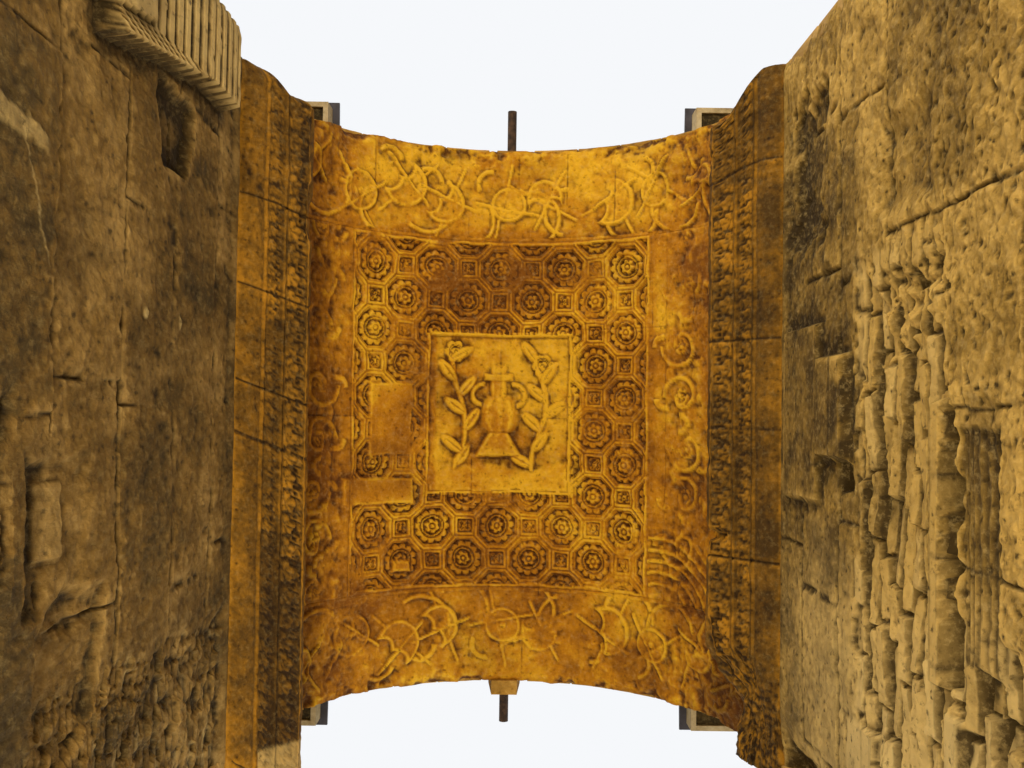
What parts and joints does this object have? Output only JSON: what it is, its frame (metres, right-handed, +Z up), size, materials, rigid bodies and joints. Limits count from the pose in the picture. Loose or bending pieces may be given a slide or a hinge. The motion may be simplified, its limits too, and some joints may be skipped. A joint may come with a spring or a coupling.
{
  "type": "triumphal arch",
  "caption": "Worn Roman triumphal arch in stone: a deep barrel-vaulted passage with carved octagon coffers, moulded imposts, half columns on podiums and a flat drained roof",
  "frame": {"origin": "on the ground, at the middle of the passage and of the whole arch", "axes": "+X along the front to the right, +Y through the passage from front to back, +Z up"},
  "size_m": [12.69, 6.84, 13],
  "materials": {
    "wall_stone": "weathered limestone ashlar with open joints",
    "vault_stone": "worn low relief in golden limestone",
    "carved_stone": "carved limestone, eroded and soot-stained",
    "pale_stone": "pale replacement limestone, sawn",
    "lead": "dull dark lead sheet",
    "spout_metal": "brown rusted pipe"
  },
  "bodies": {
    "root": {"back_architrave": "pale_stone", "back_archivolt": "carved_stone", "back_keystone": "carved_stone", "back_left_bases": "wall_stone", "back_left_capitals": "carved_stone", "back_left_flashing": "lead", "back_left_podium": "wall_stone", "back_left_ressaut": "pale_stone", "back_left_shafts": "wall_stone", "back_right_bases": "wall_stone", "back_right_capitals": "carved_stone", "back_right_flashing": "lead", "back_right_podium": "wall_stone", "back_right_ressaut": "pale_stone", "back_right_shafts": "wall_stone", "back_spout": "spout_metal", "cornice": "pale_stone", "front_architrave": "pale_stone", "front_archivolt": "carved_stone", "front_keystone": "carved_stone", "front_left_bases": "wall_stone", "front_left_capitals": "carved_stone", "front_left_flashing": "lead", "front_left_podium": "wall_stone", "front_left_ressaut": "pale_stone", "front_left_shafts": "wall_stone", "front_right_bases": "wall_stone", "front_right_capitals": "carved_stone", "front_right_flashing": "lead", "front_right_podium": "wall_stone", "front_right_ressaut": "pale_stone", "front_right_shafts": "wall_stone", "front_spout": "spout_metal", "left_impost": "carved_stone", "left_pier": "wall_stone", "left_upper_masonry": "wall_stone", "right_impost": "carved_stone", "right_pier": "wall_stone", "right_upper_masonry": "wall_stone", "roof": "pale_stone", "vault_back_ring": "vault_stone", "vault_coffered_ring": "vault_stone", "vault_front_ring": "vault_stone"}
  },
  "joints": []
}
